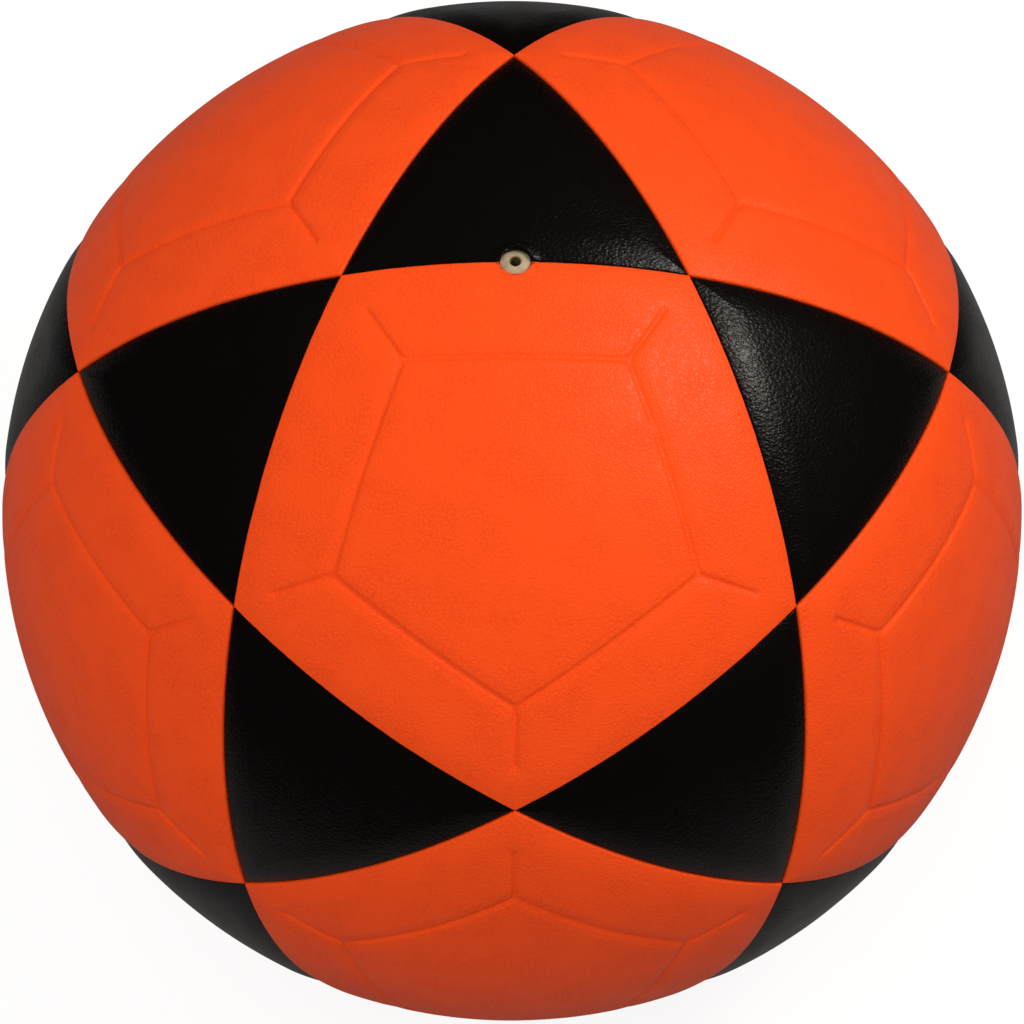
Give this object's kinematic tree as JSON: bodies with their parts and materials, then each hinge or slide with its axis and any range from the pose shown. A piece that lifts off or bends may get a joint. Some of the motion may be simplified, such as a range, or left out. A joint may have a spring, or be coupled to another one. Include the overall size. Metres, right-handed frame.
{
  "type": "soccer ball",
  "caption": "Laminated soccer ball with bonded pentagon and triangle cover panels over foam, a rubber carcass, a nylon winding and a bladder, with a removable needle valve core.",
  "frame": {"origin": "centre of the ball", "axes": "+Z out through the valve; the seam that carries the valve runs along X, with its pentagon panel towards -Y and its triangle panel towards +Y"},
  "size_m": [0.218, 0.218, 0.218],
  "materials": {
    "orange_cover": "satin",
    "black_cover": "satin",
    "foam": "matte",
    "carcass_rubber": "matte",
    "nylon": "satin",
    "butyl": "satin",
    "valve_rubber": "satin",
    "core_rubber": "matte"
  },
  "bodies": {
    "ball": {"pentagon_panel_01": "orange_cover", "pentagon_panel_02": "orange_cover", "pentagon_panel_03": "orange_cover", "pentagon_panel_04": "orange_cover", "pentagon_panel_05": "orange_cover", "pentagon_panel_06": "orange_cover", "pentagon_panel_07": "orange_cover", "pentagon_panel_08": "orange_cover", "pentagon_panel_09": "orange_cover", "pentagon_panel_10": "orange_cover", "pentagon_panel_11": "orange_cover", "pentagon_panel_12": "orange_cover", "triangle_panel_01": "black_cover", "triangle_panel_02": "black_cover", "triangle_panel_03": "black_cover", "triangle_panel_04": "black_cover", "triangle_panel_05": "black_cover", "triangle_panel_06": "black_cover", "triangle_panel_07": "black_cover", "triangle_panel_08": "black_cover", "triangle_panel_09": "black_cover", "triangle_panel_10": "black_cover", "triangle_panel_11": "black_cover", "triangle_panel_12": "black_cover", "triangle_panel_13": "black_cover", "triangle_panel_14": "black_cover", "triangle_panel_15": "black_cover", "triangle_panel_16": "black_cover", "triangle_panel_17": "black_cover", "triangle_panel_18": "black_cover", "triangle_panel_19": "black_cover", "triangle_panel_20": "black_cover", "pentagon_foam_01": "foam", "pentagon_foam_02": "foam", "pentagon_foam_03": "foam", "pentagon_foam_04": "foam", "pentagon_foam_05": "foam", "pentagon_foam_06": "foam", "pentagon_foam_07": "foam", "pentagon_foam_08": "foam", "pentagon_foam_09": "foam", "pentagon_foam_10": "foam", "pentagon_foam_11": "foam", "pentagon_foam_12": "foam", "triangle_foam_group_1": "foam", "triangle_foam_group_2": "foam", "triangle_foam_group_3": "foam", "triangle_foam_group_4": "foam", "rubber_carcass": "carcass_rubber", "nylon_winding": "nylon", "bladder": "butyl", "valve_washer": "carcass_rubber", "valve_housing": "valve_rubber"},
    "core": {"valve_core": "core_rubber"}
  },
  "joints": [
    {"name": "valve_core_slide", "type": "slide", "parent": "ball", "child": "core", "axis": [0, 0, 1], "range_m": [0, 0.032]}
  ]
}
